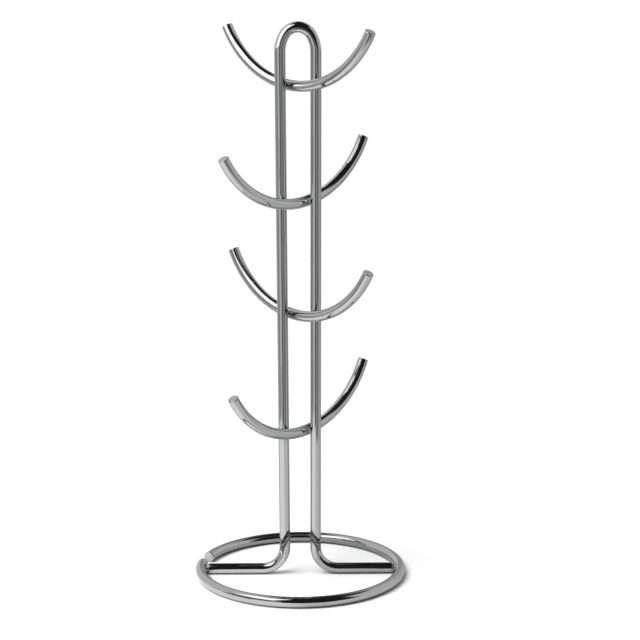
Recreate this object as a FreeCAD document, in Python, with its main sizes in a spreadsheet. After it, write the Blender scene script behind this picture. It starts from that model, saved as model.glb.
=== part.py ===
import FreeCAD, Part
import math
import os
import Sketcher

# A mug tree welded from round chrome-plated steel wire. One hairpin wire makes the arch, the two
# uprights and the two legs; an open ring wire is the base; four arc-shaped wires, welded across
# the uprights, give eight hooks. +Z is up, the legs lie along X and the origin is on the floor at
# the ring's centre. Lengths are millimetres and angles are degrees.

SIZES = [
    ("wire_dia", 8.0, "diameter of every wire"),
    ("weld_gap", 0.2, "space between crossing wires, filled by the weld"),
    ("end_round_share", 0.15, "rounding of the saw-cut wire ends, over the wire's radius"),
    ("overall_height", 413.0, "floor to the top of the arch"),
    ("ring_radius", 75.0, "base ring, to the wire's centre"),
    ("ring_opening", 11.0, "angle left open between the ring's two ends"),
    ("ring_opening_azimuth", 165.0, "where the opening is, from +X towards +Y"),
    ("foot_spacing", 23.0, "between the uprights' centres at the foot bends"),
    ("top_spacing", 25.8, "between the uprights' centres under the arch"),
    ("foot_bend_radius", 17.0, "centre-line radius of the bend from leg to upright"),
    ("arch_height", 17.6, "centre-line rise of the arch above the straight uprights"),
    ("crown_share", 0.8643, "centre-line radius of the arch's crown, over half of top_spacing"),
    ("leg_gap", 1.5, "from the leg's end to the ring, filled by the butt weld"),
    ("leg_weld_share", 0.775, "radius of the butt weld's neck, over the wire's radius"),
    ("hook_radius", 74.7, "centre-line radius of the hook arcs"),
    ("hook_sweep", 126.7, "angle of a hook arc from tip to tip"),
    ("cross_weld_share", 0.85, "radius of a cross weld, over the wire's radius"),
    ("top_hook_drop", 46.2, "from the top of the arch down to the arc's lowest centre-line point"),
    ("top_hook_slide", -1.1, "how far the arc's centre stands off the middle, along the hook"),
    ("top_hook_tilt", 0.5, "right tip up, in the hook's own plane"),
    ("upper_hook_drop", 131.0, "as above"),
    ("upper_hook_slide", -4.2, "as above"),
    ("upper_hook_tilt", 2.2, "as above"),
    ("lower_hook_drop", 214.3, "as above"),
    ("lower_hook_slide", 0.7, "as above"),
    ("lower_hook_tilt", -0.8, "as above"),
    ("bottom_hook_drop", 302.9, "as above"),
    ("bottom_hook_slide", -1.3, "as above"),
    ("bottom_hook_tilt", 3.2, "as above"),
]
# each hook turns the other way from the next: -1 puts its right tip in front, +1 behind
HOOK_TURNS = [("top", -1), ("upper", 1), ("lower", -1), ("bottom", 1)]
SIDES = [("left", -1), ("right", 1)]

doc = FreeCAD.newDocument("MugTree")


# ---------------------------------------------------------------- sizes
sheet = doc.addObject("Spreadsheet::Sheet", "Sizes")
for row, (alias, value, note) in enumerate(SIZES, start=1):
    sheet.set(f"A{row}", alias)
    sheet.set(f"B{row}", str(value))
    sheet.set(f"C{row}", note)
    sheet.setAlias(f"B{row}", alias)
doc.recompute()

# expressions shared by several pieces
WIRE_RADIUS = "Sizes.wire_dia / 2"
LEG_END = "(Sizes.ring_radius - Sizes.wire_dia / 2 - Sizes.leg_gap)"
FOOT_TOP = "(Sizes.wire_dia / 2 + Sizes.foot_bend_radius)"
ARCH_FOOT = "(Sizes.overall_height - Sizes.wire_dia / 2 - Sizes.arch_height)"
CROSSING = "(Sizes.wire_dia + Sizes.weld_gap)"
CROWN_RADIUS = "Sizes.crown_share * Sizes.top_spacing / 2"


def size(alias):
    """The number that the sheet holds under this alias."""
    return float(sheet.get(alias))


# ---------------------------------------------------------------- helpers
QUARTER_TURN = FreeCAD.Rotation(FreeCAD.Vector(0, 0, 1), 90)


def new_body(label):
    body = doc.addObject("PartDesign::Body", label)
    body.Label = label
    return body


def new_sketch(body, name, plane_role):
    """A sketch on one of the body's own origin planes."""
    sketch = body.newObject("Sketcher::SketchObject", name)
    plane = next(p for p in body.Origin.OriginFeatures if p.Role == plane_role)
    sketch.AttachmentSupport = [(plane, "")]
    sketch.MapMode = "FlatFace"
    return sketch


def dimension(sketch, name, expression, *constraint):
    """Add a dimension, name it and bind it to the sheet."""
    index = sketch.addConstraint(Sketcher.Constraint(*constraint))
    sketch.renameConstraint(index, name)
    sketch.setExpression(f"Constraints.{name}", expression)


def wire_section(sketch, across, up, centre_expressions):
    """The wire's round section, with its centre dimensioned from the sketch's axes."""
    radius = size("wire_dia") / 2
    centre = FreeCAD.Vector(across, up, 0)
    circle = sketch.addGeometry(Part.Circle(centre, FreeCAD.Vector(0, 0, 1), radius))
    dimension(sketch, "section_radius", WIRE_RADIUS, "Radius", circle, radius)
    for name, kind, expression, value in (
        ("centre_across", "DistanceX", centre_expressions[0], across),
        ("centre_up", "DistanceY", centre_expressions[1], up),
    ):
        if expression is None:
            axis = -2 if kind == "DistanceX" else -1
            sketch.addConstraint(Sketcher.Constraint("PointOnObject", circle, 3, axis))
        else:
            dimension(sketch, name, expression, kind, -1, 1, circle, 3, value)


def round_wire_ends(body, name):
    """Break the sharp edge of both cut faces of a wire."""
    doc.recompute()
    base = body.Tip
    radius = size("wire_dia") / 2
    cut_faces = []
    for face in base.Shape.Faces:
        if isinstance(face.Surface, Part.Plane) and abs(face.Area / (math.pi * radius**2) - 1) < 1e-3:
            cut_faces.append(face)
    edges = []
    for index, edge in enumerate(base.Shape.Edges, start=1):
        if any(edge.isSame(rim) for face in cut_faces for rim in face.Edges):
            edges.append(f"Edge{index}")
    fillet = body.newObject("PartDesign::Fillet", name)
    fillet.Base = (base, edges)
    fillet.setExpression("Radius", f"Sizes.end_round_share * {WIRE_RADIUS}")
    body.Tip = fillet


# ---------------------------------------------------------------- upright frame
# The hairpin: half its centre line is drawn from the leg's end to the crown, swept, and mirrored.
upright_frame = new_body("upright_frame")
leg_height = size("wire_dia") / 2
leg_end = size("ring_radius") - leg_height - size("leg_gap")
foot_x = size("foot_spacing") / 2
arch_x = size("top_spacing") / 2
bend = size("foot_bend_radius")
foot_top = leg_height + bend
crown = size("overall_height") - leg_height
rise = size("arch_height")
arch_foot = crown - rise
crown_radius = size("crown_share") * arch_x
flank_radius = (arch_x**2 + rise**2 - 2 * rise * crown_radius) / (2 * (arch_x - crown_radius))
flank_angle = math.atan2(rise - crown_radius, flank_radius - arch_x)

path = new_sketch(upright_frame, "hairpin_path", "XZ_Plane")


def at(x, z):
    return FreeCAD.Vector(x, z, 0)


def arc_between(centre, radius, start, end):
    circle = Part.Circle(centre, FreeCAD.Vector(0, 0, 1), radius)
    return Part.ArcOfCircle(circle, start, end)


bend_centre = at(foot_x + bend, foot_top)
flank_centre = at(arch_x - flank_radius, arch_foot)
crown_centre = at(0, crown - crown_radius)
leg = path.addGeometry(Part.LineSegment(at(leg_end, leg_height), at(bend_centre.x, leg_height)))
foot = path.addGeometry(arc_between(bend_centre, bend, math.pi, 1.5 * math.pi))
upright = path.addGeometry(Part.LineSegment(at(foot_x, foot_top), at(arch_x, arch_foot)))
flank = path.addGeometry(arc_between(flank_centre, flank_radius, 0, flank_angle))
top = path.addGeometry(arc_between(crown_centre, crown_radius, flank_angle, math.pi / 2))
START, END, CENTRE = 1, 2, 3
path.addConstraint(Sketcher.Constraint("Tangent", leg, END, foot, END))
path.addConstraint(Sketcher.Constraint("Tangent", foot, START, upright, START))
path.addConstraint(Sketcher.Constraint("Tangent", upright, END, flank, START))
path.addConstraint(Sketcher.Constraint("Tangent", flank, END, top, START))
path.addConstraint(Sketcher.Constraint("Horizontal", leg))
path.addConstraint(Sketcher.Constraint("PointOnObject", top, CENTRE, -2))
path.addConstraint(Sketcher.Constraint("PointOnObject", top, END, -2))
dimension(path, "leg_end", LEG_END, "DistanceX", -1, 1, leg, START, leg_end)
dimension(path, "leg_height", WIRE_RADIUS, "DistanceY", -1, 1, leg, START, leg_height)
dimension(path, "bend_radius", "Sizes.foot_bend_radius", "Radius", foot, bend)
dimension(path, "foot_half", "Sizes.foot_spacing / 2", "DistanceX", -1, 1, upright, START, foot_x)
dimension(path, "arch_half", "Sizes.top_spacing / 2", "DistanceX", -1, 1, upright, END, arch_x)
dimension(path, "arch_foot", ARCH_FOOT, "DistanceY", -1, 1, upright, END, arch_foot)
dimension(path, "crown_radius", CROWN_RADIUS, "Radius", top, crown_radius)
dimension(path, "crown", f"Sizes.overall_height - {WIRE_RADIUS}", "DistanceY", -1, 1, top, END, crown)

# the section is turned so that the swept surface's seam runs up the outside, clear of the welds
section = new_sketch(upright_frame, "leg_section", "YZ_Plane")
section.AttachmentOffset = FreeCAD.Placement(FreeCAD.Vector(0, 0, leg_end), QUARTER_TURN)
section.setExpression("AttachmentOffset.Base.z", LEG_END)
wire_section(section, leg_height, 0, (WIRE_RADIUS, None))
doc.recompute()
half = upright_frame.newObject("PartDesign::AdditivePipe", "half_hairpin")
half.Profile = section
half.Spine = (path, [])
mirrored = upright_frame.newObject("PartDesign::Mirrored", "whole_hairpin")
mirrored.Originals = [half]
mirrored.MirrorPlane = (
    next(p for p in upright_frame.Origin.OriginFeatures if p.Role == "YZ_Plane"),
    [""],
)
upright_frame.Tip = mirrored
round_wire_ends(upright_frame, "leg_end_rounds")


# ---------------------------------------------------------------- base ring
# An open ring, revolved evenly about +X and then turned so that its opening faces the right way.
base_ring = new_body("base_ring")
ring_section = new_sketch(base_ring, "ring_section", "XZ_Plane")
wire_section(
    ring_section,
    size("ring_radius"),
    leg_height,
    ("Sizes.ring_radius", WIRE_RADIUS),
)
ring = base_ring.newObject("PartDesign::Revolution", "ring")
ring.Profile = ring_section
ring.ReferenceAxis = (ring_section, ["V_Axis"])
ring.Midplane = True
ring.setExpression("Angle", "360 - Sizes.ring_opening")
base_ring.Tip = ring
round_wire_ends(base_ring, "ring_end_rounds")
base_ring.setExpression(
    "Placement",
    "placement(vector(0; 0; 0); rotation(Sizes.ring_opening_azimuth - 180; 0; 0))",
)


# ---------------------------------------------------------------- hooks
# Each hook is one arc in a vertical plane, modelled about its own centre. The plane is turned
# about Z until the wire just clears one upright in front and the other behind.
def hook_height(name):
    """The lowest point of a hook's centre line, above the floor."""
    return f"(Sizes.overall_height - Sizes.{name}_hook_drop)"


def spacing_at(height):
    """The uprights' spacing at a height, which changes evenly from the foot to the arch."""
    share = f"({height} - {FOOT_TOP}) / ({ARCH_FOOT} - {FOOT_TOP})"
    return f"(Sizes.foot_spacing + (Sizes.top_spacing - Sizes.foot_spacing) * {share})"


def hook_yaw(name, turn):
    return f"({turn} * asin(2 * {CROSSING} / {spacing_at(hook_height(name))}))"


def make_hook(name, turn):
    hook = new_body(f"{name}_hook")
    hook_section = new_sketch(hook, f"{name}_hook_section", "YZ_Plane")
    # turned so that the arc's seam runs along its underside, clear of the welds
    hook_section.AttachmentOffset = FreeCAD.Placement(FreeCAD.Vector(), QUARTER_TURN.inverted())
    wire_section(hook_section, size("hook_radius"), 0, ("Sizes.hook_radius", None))
    arc = hook.newObject("PartDesign::Revolution", f"{name}_hook_arc")
    arc.Profile = hook_section
    arc.ReferenceAxis = (hook_section, ["V_Axis"])
    arc.Midplane = True
    arc.setExpression("Angle", "Sizes.hook_sweep")
    hook.Tip = arc
    round_wire_ends(hook, f"{name}_hook_end_rounds")
    yaw = hook_yaw(name, turn)
    slide = f"Sizes.{name}_hook_slide"
    centre_height = f"{hook_height(name)} + Sizes.hook_radius"
    hook.setExpression(
        "Placement",
        f"placement(vector({slide} * cos({yaw}); {slide} * sin({yaw}); {centre_height}); "
        f"rotation({yaw}; -Sizes.{name}_hook_tilt; 0))",
    )
    return hook


hooks = {name: make_hook(name, turn) for name, turn in HOOK_TURNS}
doc.recompute()


# ---------------------------------------------------------------- welds
# A weld is what is left of a small bead at the joint once both wires are taken away from it.
wires = doc.addObject("Part::Compound", "all_wires")
wires.Links = [upright_frame, base_ring] + list(hooks.values())


def make_weld(label, bead):
    weld = doc.addObject("Part::Cut", label)
    weld.Label = label
    weld.Base = bead
    weld.Tool = wires
    return weld


def cross_weld(name, turn, side, sign):
    """A round bead from the centre of one upright's wire square across to the hook's."""
    label = f"{name}_hook_{side}_weld"
    yaw = hook_yaw(name, turn)
    upright_x = f"({sign} * {spacing_at(hook_height(name))} / 2)"
    along = f"({upright_x} * cos({yaw}) - Sizes.{name}_hook_slide)"
    rise_of_arc = f"(Sizes.hook_radius - sqrt(Sizes.hook_radius ^ 2 - {along} ^ 2))"
    bead = doc.addObject("Part::Cylinder", f"{label}_bead")
    bead.setExpression("Radius", f"Sizes.cross_weld_share * {WIRE_RADIUS}")
    bead.setExpression("Height", CROSSING)
    bead.setExpression(
        "Placement",
        f"placement(vector({upright_x}; 0; {hook_height(name)} + {rise_of_arc}); "
        f"rotation({yaw} + ({sign * turn * 90} deg); 90; 0))",
    )
    return make_weld(label, bead)


def leg_weld(side, sign):
    """A short neck from the leg's cut face to the inside of the ring."""
    label = f"{side}_leg_weld"
    bead = doc.addObject("Part::Cylinder", f"{label}_bead")
    bead.setExpression("Radius", f"Sizes.leg_weld_share * {WIRE_RADIUS}")
    bead.setExpression("Height", f"Sizes.ring_radius - {LEG_END}")
    bead.setExpression(
        "Placement",
        f"placement(vector({sign} * {LEG_END}; 0; {WIRE_RADIUS}); "
        f"rotation(vector(0; 1; 0); {sign * 90}))",
    )
    return make_weld(label, bead)


welds = [cross_weld(name, turn, side, sign) for name, turn in HOOK_TURNS for side, sign in SIDES]
welds += [leg_weld(side, sign) for side, sign in SIDES]
doc.recompute()


# ---------------------------------------------------------------- check and write
for item in doc.Objects:
    if "Invalid" in item.State or "Error" in item.State:
        raise RuntimeError(f"{item.Name} failed: {item.State}")

sub_parts = [upright_frame, base_ring] + list(hooks.values()) + welds
for part in sub_parts:
    shape = part.Shape
    if shape.isNull() or not shape.isValid() or len(shape.Solids) != 1:
        raise RuntimeError(f"{part.Label} is not one valid solid")

os.makedirs("parts", exist_ok=True)
for part in sub_parts:
    part.Shape.exportStep(f"parts/{part.Label}.step")
    print(part.Label, "volume", round(part.Shape.Volume, 1))
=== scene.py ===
import bpy
import math
import random
from mathutils import Matrix, Vector


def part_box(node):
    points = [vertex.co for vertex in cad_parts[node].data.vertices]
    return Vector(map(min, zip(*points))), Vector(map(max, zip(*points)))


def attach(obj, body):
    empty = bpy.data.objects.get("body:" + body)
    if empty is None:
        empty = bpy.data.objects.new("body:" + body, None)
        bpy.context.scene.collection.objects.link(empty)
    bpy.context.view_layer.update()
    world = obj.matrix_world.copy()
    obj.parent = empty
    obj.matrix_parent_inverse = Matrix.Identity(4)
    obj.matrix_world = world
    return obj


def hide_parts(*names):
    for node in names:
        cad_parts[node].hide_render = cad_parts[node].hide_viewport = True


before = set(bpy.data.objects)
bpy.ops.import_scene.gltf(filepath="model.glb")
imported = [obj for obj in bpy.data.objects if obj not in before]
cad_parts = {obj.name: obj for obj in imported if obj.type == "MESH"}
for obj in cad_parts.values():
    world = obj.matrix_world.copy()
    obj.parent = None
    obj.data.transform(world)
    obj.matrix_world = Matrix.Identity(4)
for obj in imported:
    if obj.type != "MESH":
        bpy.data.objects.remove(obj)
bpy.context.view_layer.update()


# ---------------------------------------------------------------- upright frame
# One long wire bent like a hairpin: an egg-shaped arch, two uprights that draw together a little
# towards the foot, and two legs that turn out to the base ring. It is 8 mm round steel, drawn
# through a die, cut by saw, bent cold over round formers, and chrome plated after welding.
WIRE_RADIUS = 0.004


def hex_colour(code):
    """An sRGB hex value as linear light, with alpha."""
    channels = [int(code[i:i + 2], 16) / 255 for i in (1, 3, 5)]
    linear = [c / 12.92 if c <= 0.04045 else ((c + 0.055) / 1.055) ** 2.4 for c in channels]
    return (*linear, 1.0)


def add_node(tree, kind, inputs=(), **settings):
    """A node with its settings; each input is a value or the socket that it is linked to."""
    made = tree.nodes.new(kind)
    for name, value in settings.items():
        setattr(made, name, value)
    for socket, value in dict(inputs).items():
        if isinstance(value, bpy.types.NodeSocket):
            tree.links.new(value, made.inputs[socket])
        else:
            made.inputs[socket].default_value = value
    return made


def empty_tree(owner):
    """The node tree of a material or a world, cleared of the nodes that it starts with."""
    owner.use_nodes = True
    owner.node_tree.nodes.clear()
    return owner.node_tree


def chrome_plated_wire(name, wave, wave_depth):
    """Bright decorative chrome over nickel on drawn steel: a mirror, a little grey, with long faint
    die lines, a slow waviness, wave from crest to crest, and thin grease where it is handled."""
    DIE_LINE = 0.00035  # from one die line to the next, drawn coarser than real so that they show
    DIE_LINE_STRETCH = 0.006  # a line is some 60 mm long
    DIE_LINE_DEPTH = 0.000004
    WAVE_STRETCH = 0.6  # a wave is longer along the wire than around it
    FILM_PATCH = 0.025  # across a patch of handling film
    FILM_NONE, FILM_FULL = 0.35, 0.75  # the noise at which the film is missing, and whole
    CLEAN_ROUGHNESS, FILM_ROUGHNESS = 0.015, 0.040
    SAWN_ROUGHNESS = 0.13  # a sawn end is grained and duller under the same plate
    BUMP_STRENGTH = 0.5
    CHROME = hex_colour("#B6B7B7")
    material = bpy.data.materials.new(name)
    tree = empty_tree(material)
    # the place on the wire before it was bent: across its section, and along its length in Z
    unbent = add_node(tree, "ShaderNodeAttribute", attribute_name="unbent_wire").outputs["Vector"]
    die_place = add_node(
        tree, "ShaderNodeMapping", {"Vector": unbent, "Scale": (1, 1, DIE_LINE_STRETCH)}
    )
    die_lines = add_node(
        tree,
        "ShaderNodeTexNoise",
        {"Vector": die_place.outputs["Vector"], "Scale": 1 / DIE_LINE, "Detail": 2.0},
    )
    wave_place = add_node(
        tree, "ShaderNodeMapping", {"Vector": unbent, "Scale": (1, 1, WAVE_STRETCH)}
    )
    waviness = add_node(
        tree,
        "ShaderNodeTexNoise",
        {"Vector": wave_place.outputs["Vector"], "Scale": 1 / wave, "Detail": 1.0},
    )
    die_bump = add_node(
        tree,
        "ShaderNodeBump",
        {
            "Height": die_lines.outputs["Fac"],
            "Strength": BUMP_STRENGTH,
            "Distance": DIE_LINE_DEPTH,
        },
    )
    wave_bump = add_node(
        tree,
        "ShaderNodeBump",
        {
            "Height": waviness.outputs["Fac"],
            "Strength": BUMP_STRENGTH,
            "Distance": wave_depth,
            "Normal": die_bump.outputs["Normal"],
        },
    )
    film = add_node(
        tree, "ShaderNodeTexNoise", {"Vector": unbent, "Scale": 1 / FILM_PATCH, "Detail": 4.0}
    )
    softness = add_node(
        tree,
        "ShaderNodeMapRange",
        {
            "Value": film.outputs["Fac"],
            "From Min": FILM_NONE,
            "From Max": FILM_FULL,
            "To Min": CLEAN_ROUGHNESS,
            "To Max": FILM_ROUGHNESS,
        },
    )
    cut_end = add_node(tree, "ShaderNodeAttribute", attribute_name="sawn_end")
    roughness = add_node(
        tree,
        "ShaderNodeMapRange",
        {
            "Value": cut_end.outputs["Fac"],
            "To Min": softness.outputs["Result"],
            "To Max": SAWN_ROUGHNESS,
        },
    )
    plate = add_node(
        tree,
        "ShaderNodeBsdfPrincipled",
        {
            "Base Color": CHROME,
            "Metallic": 1.0,
            "Roughness": roughness.outputs["Result"],
            "Normal": wave_bump.outputs["Normal"],
        },
    )
    add_node(tree, "ShaderNodeOutputMaterial", {"Surface": plate.outputs["BSDF"]})
    return material


STRAIGHTENING_WAVE = 0.009  # from crest to crest of what the straightening rolls leave
STRAIGHTENING_DEPTH = 0.00008  # drawn deeper than real, so that it shows
chrome_wire = chrome_plated_wire(
    "chrome_plated_drawn_wire", STRAIGHTENING_WAVE, STRAIGHTENING_DEPTH
)


def straight(start, end):
    """A straight run of wire, as one cubic piece: point, handle, handle, point."""
    third = (end - start) / 3
    return [(start, start + third, end - third, end)]


def bend(centre, radius, first, last):
    """A bend from angle first to angle last, as cubic pieces of at most an eighth of a turn."""
    count = math.ceil(abs(last - first) / (math.pi / 4))
    step = (last - first) / count
    reach = 4 / 3 * math.tan(step / 4) * radius
    pieces = []
    for i in range(count):
        a, b = first + i * step, first + (i + 1) * step
        start = centre + radius * Vector((math.cos(a), math.sin(a)))
        end = centre + radius * Vector((math.cos(b), math.sin(b)))
        leave = reach * Vector((-math.sin(a), math.cos(a)))
        arrive = reach * Vector((-math.sin(b), math.cos(b)))
        pieces.append((start, start + leave, end - arrive, end))
    return pieces


def centre_line(name, pieces, place):
    """The wire's centre line as a curve; place turns a point of its flat plan into space."""
    curve = bpy.data.curves.new(name, "CURVE")
    curve.dimensions = "3D"
    curve.resolution_u = 64  # finer than the rings that are laid along it
    spline = curve.splines.new("BEZIER")
    spline.bezier_points.add(len(pieces))
    for i, point in enumerate(spline.bezier_points):
        before = pieces[i - 1] if i else None
        after = pieces[i] if i < len(pieces) else None
        point.handle_left_type = point.handle_right_type = "FREE"
        point.co = place(after[0] if after else before[3])
        point.handle_left = place(before[2]) if before else point.co
        point.handle_right = place(after[1]) if after else point.co
    line = bpy.data.objects.new(name, curve)
    bpy.context.scene.collection.objects.link(line)
    return line


def swept_wire_tree():
    """Sweeps a round wire along its centre line and rounds the rims of its two sawn ends."""
    FACE_RING_SHRINK = 0.3  # the ring inside a sawn face is this much smaller than the face
    tree = bpy.data.node_groups.new("swept_wire", "GeometryNodeTree")
    tree.is_modifier = True
    tree.interface.new_socket("Centre Line", in_out="INPUT", socket_type="NodeSocketGeometry")
    for name, kind in (
        ("Wire Radius", "NodeSocketFloat"),
        ("Rim Round", "NodeSocketFloat"),
        ("Face Dish", "NodeSocketFloat"),
        ("Ring Spacing", "NodeSocketFloat"),
        ("Rim Rings", "NodeSocketInt"),
        ("Sides", "NodeSocketInt"),
        ("Finish", "NodeSocketMaterial"),
    ):
        tree.interface.new_socket(name, in_out="INPUT", socket_type=kind)
    tree.interface.new_socket("Wire", in_out="OUTPUT", socket_type="NodeSocketGeometry")
    given = add_node(tree, "NodeGroupInput").outputs
    length = add_node(tree, "GeometryNodeCurveLength", {"Curve": given["Centre Line"]})
    value = {socket.name: socket for socket in given if socket.name}
    value["length"] = length.outputs["Length"]
    value["index"] = add_node(tree, "GeometryNodeInputIndex").outputs["Index"]
    # The wire is a row of rings, each with its length along the wire and its radius. Every line is
    # one sum: its name, what is done, and what it is done to, a number or a name met before.
    for name, operation, *terms in (
        ("half length", "MULTIPLY", "length", 0.5),
        ("spacings", "DIVIDE", "half length", "Ring Spacing"),
        ("half rings", "CEIL", "spacings"),
        ("end rings", "ADD", "Rim Rings", 1),
        ("rings in a half", "ADD", "half rings", "end rings"),
        ("last", "MULTIPLY", "rings in a half", 2),
        ("count", "ADD", "last", 1),
        # the ring's number from the nearer end: 0 is inside the sawn face, 1 is its rim
        ("from far end", "SUBTRACT", "last", "index"),
        ("from end", "MINIMUM", "index", "from far end"),
        ("rim number", "SUBTRACT", "from end", 1),
        ("past face", "MAXIMUM", "rim number", 0),
        ("rim share", "DIVIDE", "past face", "Rim Rings"),
        ("on rim", "MINIMUM", "rim share", 1),
        ("angle", "MULTIPLY", "on rim", math.pi / 2),
        ("inner ring", "LESS_THAN", "from end", 0.5),
        ("not inner", "SUBTRACT", 1, "inner ring"),
        ("sawn", "LESS_THAN", "from end", 1.5),
        # how deep from the wire's end it lies: in the dish, on the rim, or along the run
        ("dish", "MULTIPLY", "not inner", "Face Dish"),
        ("cosine", "COSINE", "angle"),
        ("round share", "SUBTRACT", 1, "cosine"),
        ("rim depth", "MULTIPLY", "round share", "Rim Round"),
        ("end depth", "ADD", "Rim Round", "Face Dish"),
        ("run", "SUBTRACT", "half length", "end depth"),
        ("step", "DIVIDE", "run", "half rings"),
        ("run number", "SUBTRACT", "from end", "end rings"),
        ("past rim", "MAXIMUM", "run number", 0),
        ("run depth", "MULTIPLY", "past rim", "step"),
        ("face depth", "ADD", "dish", "rim depth"),
        ("depth", "ADD", "face depth", "run depth"),
        # counted from the wire's start, on either half
        ("middle", "MULTIPLY", "last", 0.5),
        ("far half", "GREATER_THAN", "index", "middle"),
        ("both depths", "MULTIPLY", "depth", 2),
        ("across", "SUBTRACT", "length", "both depths"),
        ("turned", "MULTIPLY", "far half", "across"),
        ("along", "ADD", "depth", "turned"),
        # its radius: small inside the face, then round the rim, then the wire's own
        ("face radius", "SUBTRACT", "Wire Radius", "Rim Round"),
        ("sine", "SINE", "angle"),
        ("rim swell", "MULTIPLY", "sine", "Rim Round"),
        ("rim radius", "ADD", "face radius", "rim swell"),
        ("shrink", "MULTIPLY", "inner ring", FACE_RING_SHRINK),
        ("share", "SUBTRACT", 1, "shrink"),
        ("radius", "MULTIPLY", "rim radius", "share"),
    ):
        sockets = [value[term] if isinstance(term, str) else term for term in terms]
        made = add_node(tree, "ShaderNodeMath", enumerate(sockets), operation=operation)
        value[name] = made.outputs["Value"]
    bare_line = add_node(tree, "GeometryNodeCurvePrimitiveLine")
    rings = add_node(
        tree,
        "GeometryNodeResampleCurve",
        {"Curve": bare_line.outputs["Curve"], "Count": value["count"]},
        mode="COUNT",
    )
    sampled = add_node(
        tree,
        "GeometryNodeSampleCurve",
        {"Curves": given["Centre Line"], "Length": value["along"]},
        mode="LENGTH",
    )
    placed = add_node(
        tree,
        "GeometryNodeSetPosition",
        {"Geometry": rings.outputs["Curve"], "Position": sampled.outputs["Position"]},
    )
    # what each point of the mesh remembers: its length along the wire, and whether it was sawn
    kept = add_node(tree, "GeometryNodeCaptureAttribute", {"Geometry": placed.outputs["Geometry"]})
    for name in ("along", "sawn", "radius"):
        kept.capture_items.new("FLOAT", name)
        tree.links.new(value[name], kept.inputs[name])
    circle = add_node(
        tree, "GeometryNodeCurvePrimitiveCircle", {"Resolution": given["Sides"], "Radius": 1.0}
    )
    around = add_node(tree, "GeometryNodeCaptureAttribute", {"Geometry": circle.outputs["Curve"]})
    around.capture_items.new("VECTOR", "around")
    circle_point = add_node(tree, "GeometryNodeInputPosition").outputs["Position"]
    tree.links.new(circle_point, around.inputs["around"])
    swept = add_node(
        tree,
        "GeometryNodeCurveToMesh",
        {
            "Curve": kept.outputs["Geometry"],
            "Profile Curve": around.outputs["Geometry"],
            "Scale": kept.outputs["radius"],
            "Fill Caps": True,
        },
    )
    section = add_node(
        tree,
        "ShaderNodeVectorMath",
        {0: around.outputs["around"], "Scale": kept.outputs["radius"]},
        operation="SCALE",
    )
    parts = add_node(tree, "ShaderNodeSeparateXYZ", {0: section.outputs[0]})
    unbent = add_node(
        tree,
        "ShaderNodeCombineXYZ",
        {0: parts.outputs[0], 1: parts.outputs[1], 2: kept.outputs["along"]},
    )
    named = add_node(
        tree,
        "GeometryNodeStoreNamedAttribute",
        {"Geometry": swept.outputs["Mesh"], "Name": "unbent_wire", "Value": unbent.outputs[0]},
        data_type="FLOAT_VECTOR",
        domain="POINT",
    )
    marked = add_node(
        tree,
        "GeometryNodeStoreNamedAttribute",
        {"Geometry": named.outputs["Geometry"], "Name": "sawn_end", "Value": kept.outputs["sawn"]},
        data_type="FLOAT",
        domain="POINT",
    )
    smooth = add_node(tree, "GeometryNodeSetShadeSmooth", {"Geometry": marked.outputs["Geometry"]})
    whole = add_node(tree, "GeometryNodeRealizeInstances", {"Geometry": smooth.outputs["Geometry"]})
    plated = add_node(
        tree,
        "GeometryNodeSetMaterial",
        {"Geometry": whole.outputs["Geometry"], "Material": given["Finish"]},
    )
    add_node(tree, "NodeGroupOutput", {"Wire": plated.outputs["Geometry"]})
    return tree


swept_wire = swept_wire_tree()


def sweep(line, name, node, finish):
    """Turns a centre line into the finished wire that stands for a CAD node."""
    modifier = line.modifiers.new("swept_wire", "NODES")
    modifier.node_group = swept_wire
    sizes = {
        "Wire Radius": WIRE_RADIUS,
        "Rim Round": 0.0006,  # the saw's burr tumbled off
        "Face Dish": 0.00002,  # how far the sawn face lies inside its rim
        "Ring Spacing": 0.001,
        "Rim Rings": 6,
        "Sides": 64,
        "Finish": finish,
    }
    for socket in swept_wire.interface.items_tree:
        if socket.in_out == "INPUT" and socket.name in sizes:
            modifier[socket.identifier] = sizes[socket.name]
    line.update_tag()
    depsgraph = bpy.context.evaluated_depsgraph_get()
    mesh = bpy.data.meshes.new_from_object(
        line.evaluated_get(depsgraph), preserve_all_data_layers=True, depsgraph=depsgraph
    )
    curve = line.data
    bpy.data.objects.remove(line)
    bpy.data.curves.remove(curve)
    mesh.name = name
    wire = bpy.data.objects.new(name, mesh)
    bpy.context.scene.collection.objects.link(wire)
    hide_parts(node)
    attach(wire, "root")


FOOT_HALF = 0.0115  # half the uprights' spacing at the foot, and under the arch
ARCH_HALF = 0.0129
FOOT_BEND = 0.017  # radius of the bend from upright to leg
ARCH_RISE = 0.0176  # from the arch's foot to its crown
CROWN_RADIUS = 0.01115  # the crown is bent a little tighter than the uprights' spacing
frame_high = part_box("upright_frame")[1]
tree_height = frame_high.z
leg_end = frame_high.x
foot_top = WIRE_RADIUS + FOOT_BEND
arch_foot = tree_height - WIRE_RADIUS - ARCH_RISE
lean = math.atan2(ARCH_HALF - FOOT_HALF, arch_foot - foot_top)
foot_centre = Vector((FOOT_HALF + FOOT_BEND * math.cos(lean), foot_top))
shoulder = Vector((ARCH_HALF, arch_foot))
inward = Vector((-math.cos(lean), math.sin(lean)))
crown_centre = Vector((0, tree_height - WIRE_RADIUS - CROWN_RADIUS))
to_crown = shoulder - crown_centre
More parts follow.
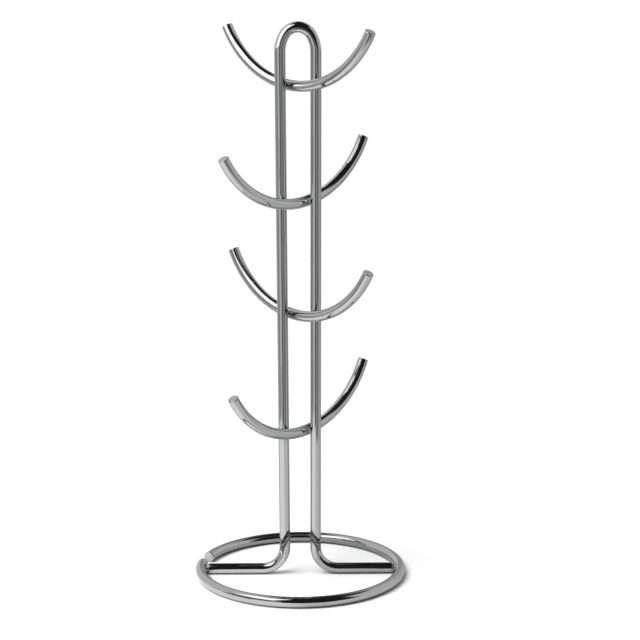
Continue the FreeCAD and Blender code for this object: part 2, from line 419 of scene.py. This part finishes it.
# the flank of the arch runs on from the upright and rolls into the crown without a kink
flank_reach = 2 * (inward.dot(to_crown) + CROWN_RADIUS)
flank_radius = (CROWN_RADIUS**2 - to_crown.length_squared) / flank_reach
flank_centre = shoulder + flank_radius * inward
roll_in = math.atan2(crown_centre.y - flank_centre.y, crown_centre.x - flank_centre.x)
foot_start = Vector((FOOT_HALF, foot_top + FOOT_BEND * math.sin(lean)))
right_half = (
    straight(Vector((leg_end, WIRE_RADIUS)), Vector((foot_centre.x, WIRE_RADIUS)))
    + bend(foot_centre, FOOT_BEND, 1.5 * math.pi, math.pi - lean)
    + straight(foot_start, shoulder)
    + bend(flank_centre, flank_radius, -lean, roll_in)
    + bend(crown_centre, CROWN_RADIUS, roll_in, math.pi / 2)
)
left_half = [
    tuple(Vector((-point.x, point.y)) for point in reversed(piece))
    for piece in reversed(right_half)
]
hairpin = centre_line(
    "hairpin_line", right_half + left_half, lambda point: Vector((point.x, 0, point.y))
)
sweep(hairpin, "upright_frame_wire", "upright_frame", chrome_wire)


# ---------------------------------------------------------------- base ring
# A wire rolled into a ring that lies flat on the table and is left open at the back on one side.
# The legs of the hairpin are butt welded to the inside of it.
RING_OPENING = math.radians(11)
RING_OPENING_AZIMUTH = math.radians(165)
ring_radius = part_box("base_ring")[1].y - WIRE_RADIUS
ring_first = RING_OPENING_AZIMUTH + RING_OPENING / 2 - 2 * math.pi
ring_last = RING_OPENING_AZIMUTH - RING_OPENING / 2
ring_line = centre_line(
    "ring_line",
    bend(Vector((0, 0)), ring_radius, ring_first, ring_last),
    lambda point: Vector((point.x, point.y, WIRE_RADIUS)),
)
# the rolls bend the wire a little unevenly, so the ring is wavier than the hairpin
ROLLING_WAVE = 0.016
ROLLING_DEPTH = 0.0010  # drawn deeper than real here too
rolled_wire = chrome_plated_wire("chrome_plated_rolled_wire", ROLLING_WAVE, ROLLING_DEPTH)
sweep(ring_line, "base_ring_wire", "base_ring", rolled_wire)


# ---------------------------------------------------------------- hooks
# Four wires rolled to one radius and cut to one length, laid across both uprights with the ends up,
# so that each makes two hooks. Each passes in front of one upright and behind the other.
HOOK_RADIUS = 0.0747
HOOK_HALF_SWEEP = math.radians(126.7 / 2)
CROSSING = 0.0082  # from an upright's centre line to the hook's
# name: which way it is turned about the uprights, its slide along itself in metres, and its tilt
# in degrees
HOOKS = {
    "top_hook": (-1, -0.0011, 0.5),
    "upper_hook": (1, -0.0042, 2.2),
    "lower_hook": (-1, 0.0007, -0.8),
    "bottom_hook": (1, -0.0013, 3.2),
}


def upright_at(height):
    """How far the uprights stand from the middle at this height."""
    return FOOT_HALF + (ARCH_HALF - FOOT_HALF) * (height - foot_top) / (arch_foot - foot_top)


hook_places = {}
for hook, (turn, slide, tilt) in HOOKS.items():
    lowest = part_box(hook)[0].z + WIRE_RADIUS
    yaw = turn * math.asin(CROSSING / upright_at(lowest))
    run = Vector((math.cos(yaw), math.sin(yaw), 0))
    middle = -math.pi / 2 + math.radians(tilt)
    arc = bend(
        Vector((slide, lowest + HOOK_RADIUS)),
        HOOK_RADIUS,
        middle - HOOK_HALF_SWEEP,
        middle + HOOK_HALF_SWEEP,
    )
    line = centre_line(
        f"{hook}_line", arc, lambda point: point.x * run + Vector((0, 0, point.y))
    )
    sweep(line, f"{hook}_wire", hook, chrome_wire)
    hook_places[hook] = (lowest, run, slide)


# ---------------------------------------------------------------- cross welds
# Where a hook crosses an upright the two are pressed together and welded by current. A thin collar
# of steel is squeezed out into the corner between them, hugs both, and is plated over with them.
def plated_weld_metal():
    """Squeezed-out metal under the same chrome: duller than the wire, because its skin is pitted
    and partly burnt."""
    PIT = 0.0008  # from one pit or frozen drop to the next
    PIT_DEPTH = 0.0003
    PIT_STRENGTH = 0.6
    PITTED_ROUGHNESS = 0.24
    BURN = 0.002  # across a burnt patch
    BURNT, PLATED = hex_colour("#85837F"), hex_colour("#C2C3C4")
    material = bpy.data.materials.new("chrome_plated_weld_metal")
    tree = empty_tree(material)
    place = add_node(tree, "ShaderNodeTexCoord").outputs["Object"]
    pits = add_node(
        tree, "ShaderNodeTexNoise", {"Vector": place, "Scale": 1 / PIT, "Detail": 3.0}
    )
    bump = add_node(
        tree,
        "ShaderNodeBump",
        {"Height": pits.outputs["Fac"], "Strength": PIT_STRENGTH, "Distance": PIT_DEPTH},
    )
    burnt = add_node(
        tree, "ShaderNodeTexNoise", {"Vector": place, "Scale": 1 / BURN, "Detail": 2.0}
    )
    tone = add_node(
        tree,
        "ShaderNodeMix",
        {"Factor": burnt.outputs["Fac"], "A": BURNT, "B": PLATED},
        data_type="RGBA",
    )
    plate = add_node(
        tree,
        "ShaderNodeBsdfPrincipled",
        {
            "Base Color": tone.outputs["Result"],
            "Metallic": 1.0,
            "Roughness": PITTED_ROUGHNESS,
            "Normal": bump.outputs["Normal"],
        },
    )
    add_node(tree, "ShaderNodeOutputMaterial", {"Surface": plate.outputs["BSDF"]})
    return material


weld_metal = plated_weld_metal()


def skinned_loops(name, loops):
    """A closed mesh through a stack of rings of points, with a fan over each end."""
    count = len(loops[0])
    points = [point for loop in loops for point in loop]
    faces = []
    for k in range(len(loops) - 1):
        for i in range(count):
            j = (i + 1) % count
            faces.append((k * count + i, k * count + j, (k + 1) * count + j, (k + 1) * count + i))
    for loop, flip in ((0, True), (len(loops) - 1, False)):
        hub = len(points)
        points.append(sum(loops[loop], Vector()) / count)
        for i in range(count):
            a, b = loop * count + i, loop * count + (i + 1) % count
            faces.append((hub, b, a) if flip else (hub, a, b))
    mesh = bpy.data.meshes.new(name)
    mesh.from_pydata(points, [], faces)
    mesh.shade_smooth()
    mesh.materials.append(weld_metal)
    piece = bpy.data.objects.new(name, mesh)
    bpy.context.scene.collection.objects.link(piece)
    return piece


def random_lumps(counts, least, most):
    """Lumps around a weld: how many times each goes round, where it starts, and its size."""
    return [(k, chance.uniform(0, 2 * math.pi), chance.uniform(least, most)) for k in counts]


def swelling(lumps, angle, twist=0):
    """How many times its smooth radius the weld has at this angle."""
    return 1 + sum(size * math.sin(k * angle + start + twist) for k, start, size in lumps)


def finish_weld(piece, node):
    """Hands a weld over in place of its CAD node."""
    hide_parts(node)
    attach(piece, "root")


COLLAR_REACH = 0.0030  # its radius where it meets a wire, and halfway between the two
COLLAR_WAIST = 0.0024
COLLAR_SINK = 0.0002  # how far it runs into the wires
COLLAR_LEVELS = 12
COLLAR_LUMPS, COLLAR_LUMP_SIZES = (2, 3, 5), (0.02, 0.12)
WELD_SIDES = 40
up = Vector((0, 0, 1))
chance = random.Random(11)
for hook, (lowest, run, slide) in hook_places.items():
    across = Vector((-run.y, run.x, 0))
    for side, sign in (("left", -1), ("right", 1)):
        upright_x = sign * upright_at(lowest)
        along = upright_x * run.x - slide
        height = lowest + HOOK_RADIUS - math.sqrt(HOOK_RADIUS**2 - along**2)
        centre = Vector((upright_x, 0, height))
        # from the upright's centre line square to the hook's, which crosses over the middle
        outward = (-across * across.dot(centre)).normalized()
        lumps = random_lumps(COLLAR_LUMPS, *COLLAR_LUMP_SIZES)
        loops = []
        for level in range(COLLAR_LEVELS + 1):
            t = 2 * level / COLLAR_LEVELS - 1
            loop = []
            for i in range(WELD_SIDES):
                angle = 2 * math.pi * i / WELD_SIDES
                lump = swelling(lumps, angle)
                reach = COLLAR_REACH * lump
                radius = COLLAR_WAIST * lump + (reach - COLLAR_WAIST * lump) * t * t
                u, v = math.cos(angle), math.sin(angle)
                low = math.sqrt(WIRE_RADIUS**2 - (reach * u) ** 2) - COLLAR_SINK
                high = CROSSING - math.sqrt(WIRE_RADIUS**2 - (reach * v) ** 2) + COLLAR_SINK
                depth = low + (high - low) * (t + 1) / 2
                loop.append(centre + radius * u * run + radius * v * up + depth * outward)
            loops.append(loop)
        if run.cross(up).dot(outward) < 0:
            loops = [list(reversed(loop)) for loop in loops]
        finish_weld(skinned_loops(f"{hook}_{side}_bead", loops), f"{hook}_{side}_weld")


# ---------------------------------------------------------------- leg welds
# The sawn end of each leg is pressed to the inside of the ring and welded: a rough neck, pinched
# next to the leg, that spreads where it meets the ring.
NECK_TWIST = 900  # radians that its lumps turn in a metre along it
NECK_LUMPS, NECK_LUMP_SIZES = (2, 3, 4, 7), (0.01, 0.06)
# place from the leg's end towards the ring's centre line, and the neck's radius there
NECK_SIZES = [
    (-0.0003, 0.0024),
    (-0.0001, 0.0031),
    (0.0003, 0.0032),
    (0.0007, 0.0030),
    (0.0011, 0.0030),
    (0.0016, 0.0031),
    (0.0022, 0.0033),
    (0.0030, 0.0035),
    (0.0036, 0.0033),
]
for side, sign in (("left", -1), ("right", 1)):
    lumps = random_lumps(NECK_LUMPS, *NECK_LUMP_SIZES)
    loops = []
    for place, radius in NECK_SIZES:
        loop = []
        for i in range(WELD_SIDES):
            angle = 2 * math.pi * i / WELD_SIDES
            lump = swelling(lumps, angle, NECK_TWIST * place)
            sideways = radius * lump * math.cos(angle)
            height = WIRE_RADIUS + radius * lump * math.sin(angle)
            loop.append(Vector((sign * (leg_end + place), sideways, height)))
        loops.append(loop if sign > 0 else list(reversed(loop)))
    finish_weld(skinned_loops(f"{side}_leg_neck", loops), f"{side}_leg_weld")


# ---------------------------------------------------------------- table
# A matt white table top that the tree stands on. Polished wire shows it as bands, so its colour is
# painted light and shade for the mirror only: pale where the light falls, greyer further off, and
# painted dark bands further out, where the dark of the room would be.
def angle_mask(tree, angle, middle, half, soft):
    """1 where an angle is within half of middle, fading to 0 over soft. All in degrees."""
    away = add_node(
        tree, "ShaderNodeMath", {0: angle, 1: math.radians(middle)}, operation="SUBTRACT"
    )
    turned = add_node(
        tree, "ShaderNodeMath", {0: away.outputs[0], 1: math.pi, 2: -math.pi}, operation="WRAP"
    )
    distance = add_node(tree, "ShaderNodeMath", {0: turned.outputs[0]}, operation="ABSOLUTE")
    return add_node(
        tree,
        "ShaderNodeMapRange",
        {
            "Value": distance.outputs[0],
            "From Min": math.radians(half + soft / 2),
            "From Max": math.radians(half - soft / 2),
        },
        interpolation_type="SMOOTHSTEP",
    ).outputs["Result"]


def azimuth_of(tree, vector):
    """The direction of a vector seen from above: 0 at the front, 90 degrees at the right."""
    parts = add_node(tree, "ShaderNodeSeparateXYZ", {0: vector}).outputs
    nearness = add_node(tree, "ShaderNodeMath", {0: parts["Y"], 1: -1.0}, operation="MULTIPLY")
    turn = add_node(
        tree, "ShaderNodeMath", {0: parts["X"], 1: nearness.outputs[0]}, operation="ARCTAN2"
    )
    return turn.outputs[0]


# the painted light and shade that the chrome mirrors on the table: middle and half width in
# degrees, soft edge in degrees, distance from the tree at which it starts in metres (-1: under the
# tree too), and its painted grey
PAINTED_MIRROR_ZONES = [
    (-50, 58, 30, -1.0, "#FCFCFC"),
    (42, 42, 20, -1.0, "#DADADA"),
    (-140, 40, 4, 0.42, "#C6C6C6"),
    (-97, 4, 2, 0.42, "#6E6E6E"),
    (-83, 10, 2, 0.42, "#B4B4B4"),
    (-67, 6, 2, 0.42, "#747474"),
    (-40, 21, 2, 0.45, "#DCDCDC"),
    (-7, 12, 2, 0.40, "#636363"),
    (14, 9, 2, 0.36, "#B0B0B0"),
    (30, 7, 2, 0.36, "#5E5E5E"),
    (44, 6, 2, 0.36, "#A4A4A4"),
    (56, 6, 2, 0.36, "#6C6C6C"),
    (80, 18, 3, 0.42, "#CACACA"),
    (104, 5, 2, 0.42, "#707070"),
]


def matt_white_table_painted_shade():
    """Matt white laminate as the camera sees it. What the chrome mirrors of it is painted shade and
    light: greyer where less light falls, paler where more falls, in bands.
    """
    LAMINATE = hex_colour("#F4F4F4")
    # painted shade: the grey that the chrome mirrors of the table outside every zone
    PAINTED_MIRROR_SHADE = hex_colour("#B8B8B8")
    ZONE_FADE = 0.05  # metres over which a tone comes in
    material = bpy.data.materials.new("matt_white_table_painted_shade")
    tree = empty_tree(material)
    place = add_node(tree, "ShaderNodeTexCoord").outputs["Object"]
    reach = add_node(tree, "ShaderNodeVectorMath", {0: place}, operation="LENGTH").outputs["Value"]
    turn = azimuth_of(tree, place)
    grey = PAINTED_MIRROR_SHADE
    # each zone paints light or shade into the grey that the chrome mirrors
    for middle, half, soft, start, code in PAINTED_MIRROR_ZONES:
        beyond = add_node(
            tree,
            "ShaderNodeMapRange",
            {"Value": reach, "From Min": start, "From Max": start + ZONE_FADE},
            interpolation_type="SMOOTHSTEP",
        )
        inside = angle_mask(tree, turn, middle, half, soft)
        both = add_node(
            tree, "ShaderNodeMath", {0: inside, 1: beyond.outputs["Result"]}, operation="MULTIPLY"
        )
        grey = add_node(
            tree,
            "ShaderNodeMix",
            {"Factor": both.outputs[0], "A": grey, "B": hex_colour(code)},
            data_type="RGBA",
        ).outputs["Result"]
    # only glossy rays see the painted light and shade; the camera sees the plain laminate
    mirrored = add_node(tree, "ShaderNodeLightPath").outputs["Is Glossy Ray"]
    colour = add_node(
        tree,
        "ShaderNodeMix",
        {"Factor": mirrored, "A": LAMINATE, "B": grey},
        data_type="RGBA",
    )
    paint = add_node(tree, "ShaderNodeBsdfDiffuse", {"Color": colour.outputs["Result"]})
    add_node(tree, "ShaderNodeOutputMaterial", {"Surface": paint.outputs["BSDF"]})
    return material


def flat_sheet(name, middle, half_across, half_up, material):
    """A flat sheet with four corners, half_across and half_up from its middle."""
    mesh = bpy.data.meshes.new(name)
    corners = [
        middle + x * half_across + y * half_up for x, y in ((-1, -1), (1, -1), (1, 1), (-1, 1))
    ]
    mesh.from_pydata(corners, [], [(0, 1, 2, 3)])
    mesh.materials.append(material)
    sheet = bpy.data.objects.new(name, mesh)
    bpy.context.scene.collection.objects.link(sheet)
    return sheet


TABLE_REACH = 16.0  # so far that its edge isn't noticed
table = flat_sheet(
    "table", Vector(), Vector((TABLE_REACH, 0, 0)), Vector((0, TABLE_REACH, 0)), matt_white_table_painted_shade()
)


# ---------------------------------------------------------------- soft box
# A soft box close by at the front left, leaning back over the table: the broad highlight down the
# left of every wire. The camera doesn't see it, and it throws no shadow.
BOX_MIDDLE = Vector((-0.380, -0.242, 0.76))
BOX_WIDTH, BOX_HEIGHT = 0.56, 0.75
BOX_AZIMUTH, BOX_TILT = math.radians(-55), math.radians(20)
BOX_BRIGHTNESS = 2.1
to_tree = Vector((-math.sin(BOX_AZIMUTH), math.cos(BOX_AZIMUTH), 0))
box_across = Vector((math.cos(BOX_AZIMUTH), math.sin(BOX_AZIMUTH), 0))
box_up = math.cos(BOX_TILT) * up + math.sin(BOX_TILT) * to_tree
cloth = bpy.data.materials.new("lit_white_cloth")
cloth_tree = empty_tree(cloth)
glow = add_node(cloth_tree, "ShaderNodeEmission", {"Strength": BOX_BRIGHTNESS})
add_node(cloth_tree, "ShaderNodeOutputMaterial", {"Surface": glow.outputs["Emission"]})
soft_box = flat_sheet(
    "soft_box", BOX_MIDDLE, BOX_WIDTH / 2 * box_across, BOX_HEIGHT / 2 * box_up, cloth
)
soft_box.visible_camera = False
soft_box.visible_shadow = False


# ---------------------------------------------------------------- room
# Pale walls around the table with the dark of the room between them, which the wires mirror as
# bands, a plain white backdrop for the camera, and a broad light from above, not mirrored.
room = bpy.data.worlds.new("studio")
dome = empty_tree(room)
direction = add_node(dome, "ShaderNodeTexCoord").outputs["Generated"]
azimuth = azimuth_of(dome, direction)
ray = add_node(dome, "ShaderNodeSeparateXYZ", {0: direction}).outputs
elevation = add_node(dome, "ShaderNodeMath", {0: ray["Z"]}, operation="ARCSINE").outputs[0]

# panels, each laid over the ones before it: middle and half width in azimuth, middle and half
# height in elevation, soft edge in degrees, brightness
PANELS = [
    (180, 40, 12, 22, 8, 0.42),  # the back wall, low
    (-128, 42, 30, 38, 8, 0.82),  # the left wall
    (108, 45, 20, 30, 14, 0.78),  # the right wall
    (150, 16, 30, 24, 12, 0.60),  # its back corner
    (-72, 16, 6, 16, 6, 0.40),  # under the soft box, at the left
    (-37, 17, 6, 12, 5, 0.75),  # a pale screen under the soft box
]
DARK_ROOM = 0.02  # the dark between the panels
BACKDROP = 1.0  # what the camera sees in their place
brightness = DARK_ROOM
for panel_azimuth, half_width, panel_elevation, half_height, soft, level in PANELS:
    both = add_node(
        dome,
        "ShaderNodeMath",
        {
            0: angle_mask(dome, azimuth, panel_azimuth, half_width, soft),
            1: angle_mask(dome, elevation, panel_elevation, half_height, soft),
        },
        operation="MULTIPLY",
    )
    brightness = add_node(
        dome,
        "ShaderNodeMix",
        {"Factor": both.outputs[0], "A": brightness, "B": level},
        data_type="FLOAT",
    ).outputs["Result"]
seen = add_node(dome, "ShaderNodeLightPath").outputs["Is Camera Ray"]
shown = add_node(
    dome, "ShaderNodeMix", {"Factor": seen, "A": brightness, "B": BACKDROP}, data_type="FLOAT"
)
backdrop = add_node(
    dome,
    "ShaderNodeBackground",
    {"Color": hex_colour("#FFFFFF"), "Strength": shown.outputs["Result"]},
)
add_node(dome, "ShaderNodeOutputWorld", {"Surface": backdrop.outputs["Background"]})
bpy.context.scene.world = room

WASH_STRENGTH = 2.85
WASH_SPREAD = math.radians(50)
WASH_FROM = Vector((-0.45, -0.30, 1.0))
wash_data = bpy.data.lights.new("overhead_wash", "SUN")
wash_data.energy = WASH_STRENGTH
wash_data.angle = WASH_SPREAD
wash = bpy.data.objects.new("overhead_wash", wash_data)
bpy.context.scene.collection.objects.link(wash)
wash.rotation_mode = "QUATERNION"
wash.rotation_quaternion = WASH_FROM.to_track_quat("Z", "Y")
wash.visible_glossy = False
bpy.context.scene.view_settings.view_transform = "Standard"


# ---------------------------------------------------------------- camera
# A long lens a metre and a half in front, a little above the top of the tree, that looks down
# along the uprights. It is turned and rolled by a fraction of a degree.
CAMERA_PLACE = (0.00382, -1.4599, 0.5083)
LENS, SENSOR = 114.3, 36.0  # focal length and sensor width in millimetres
LOOK_YAW, LOOK_PITCH, LOOK_ROLL = (math.radians(turn) for turn in (0.45, 12.1, -0.16))
camera_data = bpy.data.cameras.new("camera")
camera_data.sensor_width = SENSOR
camera_data.lens = LENS
camera_data.clip_end = 3 * TABLE_REACH
camera = bpy.data.objects.new("camera", camera_data)
bpy.context.scene.collection.objects.link(camera)
forward = Vector(
    (
        math.sin(LOOK_YAW) * math.cos(LOOK_PITCH),
        math.cos(LOOK_YAW) * math.cos(LOOK_PITCH),
        -math.sin(LOOK_PITCH),
    )
)
horizontal = Vector((math.cos(LOOK_YAW), -math.sin(LOOK_YAW), 0))
above = horizontal.cross(forward)
right = math.cos(LOOK_ROLL) * horizontal + math.sin(LOOK_ROLL) * above
upward = -math.sin(LOOK_ROLL) * horizontal + math.cos(LOOK_ROLL) * above
facing = Matrix((right, upward, -forward)).transposed().to_4x4()
camera.matrix_world = Matrix.Translation(CAMERA_PLACE) @ facing
bpy.context.scene.camera = camera
